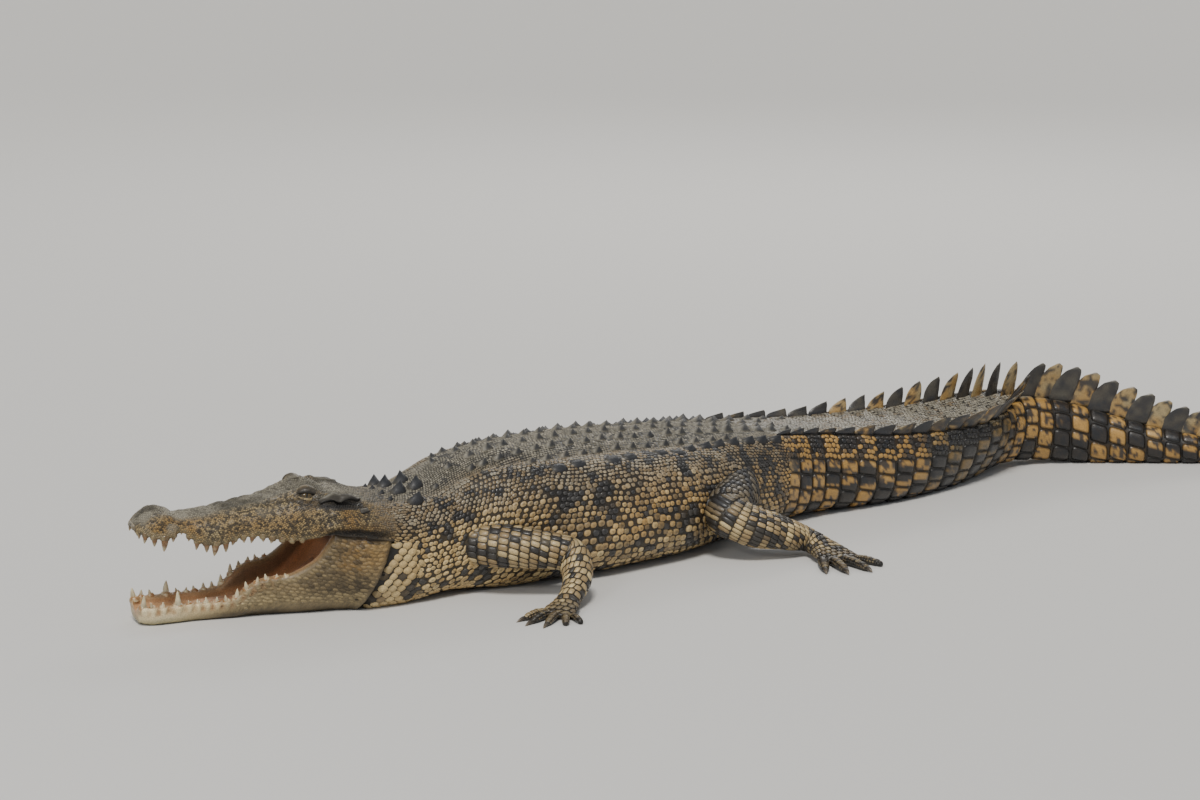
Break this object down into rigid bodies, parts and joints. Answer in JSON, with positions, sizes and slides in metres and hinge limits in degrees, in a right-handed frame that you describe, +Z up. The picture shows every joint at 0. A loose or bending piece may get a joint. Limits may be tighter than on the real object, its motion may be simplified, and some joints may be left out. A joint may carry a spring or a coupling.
{
  "type": "saltwater crocodile",
  "caption": "Life-size adult crocodile lying on its belly with its jaws wide open, its legs sprawled and its crested tail bent to one side.",
  "frame": {"origin": "middle of the whole animal's extent, at the level of the floor it lies on", "axes": "+Z up, -X towards the head, -Y towards the animal's left side"},
  "size_m": [4.0393, 1.4893, 0.3718],
  "materials": {
    "back_hide": "dusty grey-olive plated hide",
    "tail_hide": "satin yellow-ochre and blue-black blocked hide",
    "limb_hide": "satin tan and blue-black scaled hide",
    "jaw_hide": "smooth cream to tan speckled hide",
    "tongue": "moist orange-brown",
    "eye": "glossy olive with a slit pupil",
    "claw": "dark horn"
  },
  "bodies": {
    "root": {"head": "back_hide", "lower_jaw": "jaw_hide", "tongue": "tongue", "eye_left": "eye", "eye_right": "eye", "neck": "back_hide", "trunk_front": "back_hide", "trunk_rear": "back_hide", "tail_base": "tail_hide", "tail_second": "tail_hide", "tail_third": "tail_hide", "tail_fourth": "tail_hide", "tail_tip": "tail_hide", "foot_left": "limb_hide", "foot_left_claw_1": "claw", "foot_left_claw_2": "claw", "foot_left_claw_3": "claw", "foot_right": "limb_hide", "foot_right_claw_1": "claw", "foot_right_claw_2": "claw", "foot_right_claw_3": "claw", "forearm_left": "limb_hide", "forearm_right": "limb_hide", "hand_left": "limb_hide", "hand_left_claw_1": "claw", "hand_left_claw_2": "claw", "hand_left_claw_3": "claw", "hand_right": "limb_hide", "hand_right_claw_1": "claw", "hand_right_claw_2": "claw", "hand_right_claw_3": "claw", "shank_left": "limb_hide", "shank_right": "limb_hide", "thigh_left": "limb_hide", "thigh_right": "limb_hide", "upper_arm_left": "limb_hide", "upper_arm_right": "limb_hide"}
  },
  "joints": []
}
